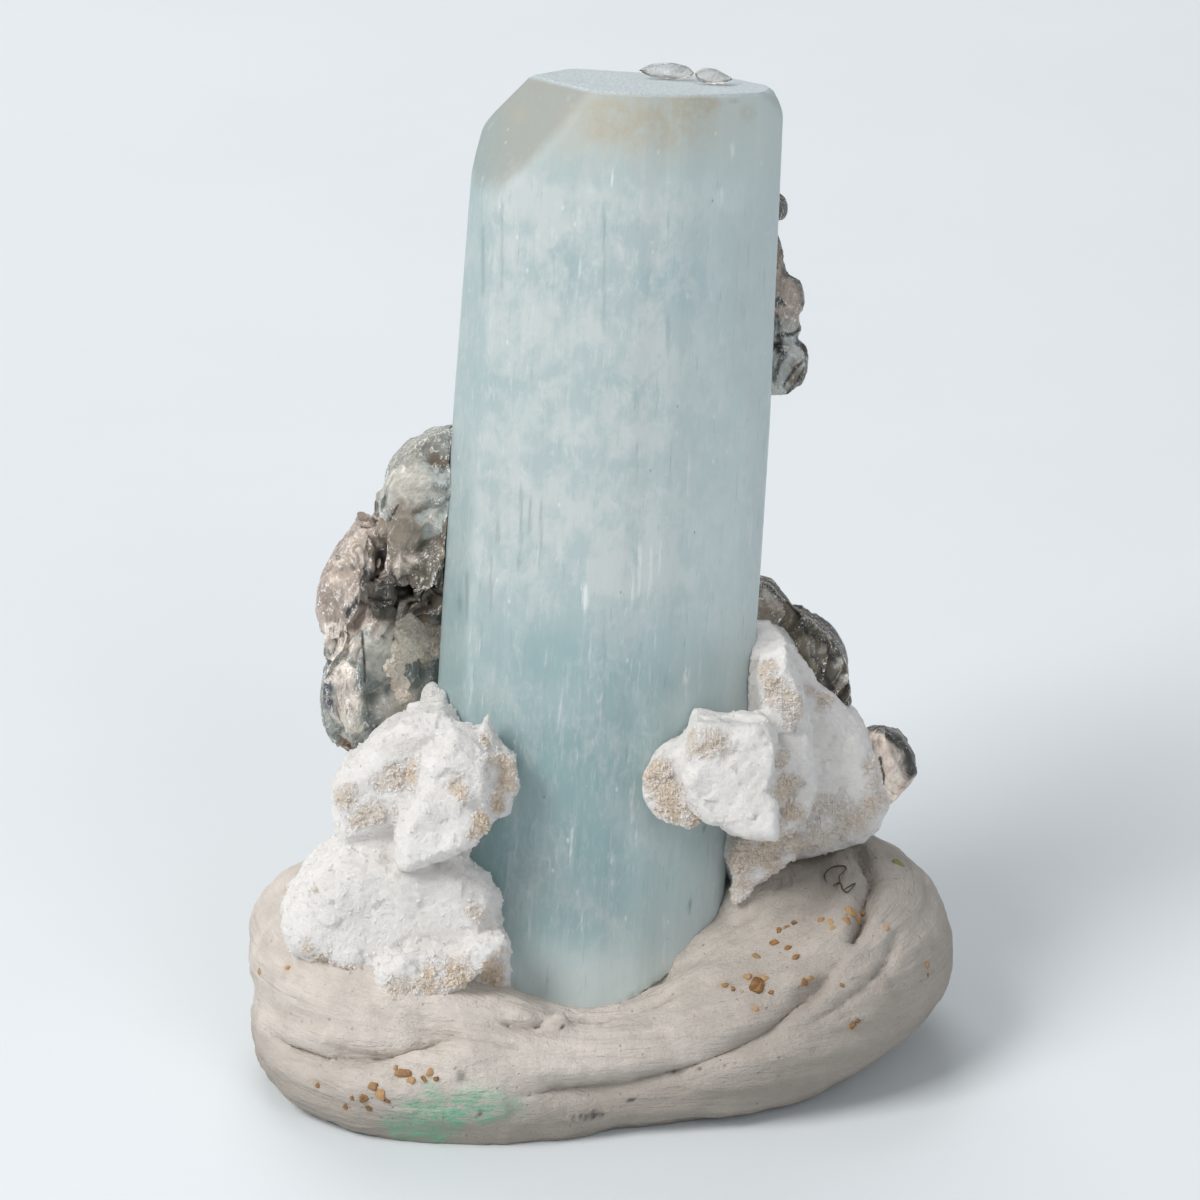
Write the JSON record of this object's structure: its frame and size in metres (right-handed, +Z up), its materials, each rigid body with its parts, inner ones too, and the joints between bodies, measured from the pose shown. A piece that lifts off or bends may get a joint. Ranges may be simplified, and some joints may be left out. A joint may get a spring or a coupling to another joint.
{
  "type": "aquamarine crystal specimen",
  "caption": "Upright blue beryl prism with white albite lumps and stacked mica books grown on it, leaning back in a folded lump of display putty with a flat underside.",
  "frame": {"origin": "middle of the putty's flat underside, on the surface that it stands on", "axes": "+Z is up, the specimen's front faces -Y, and +X is to the right seen from the front"},
  "size_m": [0.0532, 0.0419, 0.0729],
  "materials": {
    "aquamarine": "milky, translucent, satin with fine vertical striations",
    "albite": "white, sugary, matt",
    "mica": "brown-grey stacked sheets with a pearly lustre",
    "putty": "matt, warm grey, folded and thumbed"
  },
  "bodies": {
    "root": {"aquamarine_crystal": "aquamarine", "albite_left": "albite", "albite_right": "albite", "mica_left_cluster": "mica", "mica_upper_right_cluster": "mica", "mica_lower_right_cluster": "mica", "mica_right_tip": "mica", "mica_top_flake_large": "mica", "mica_top_flake_small": "mica", "putty_base": "putty"}
  },
  "joints": []
}
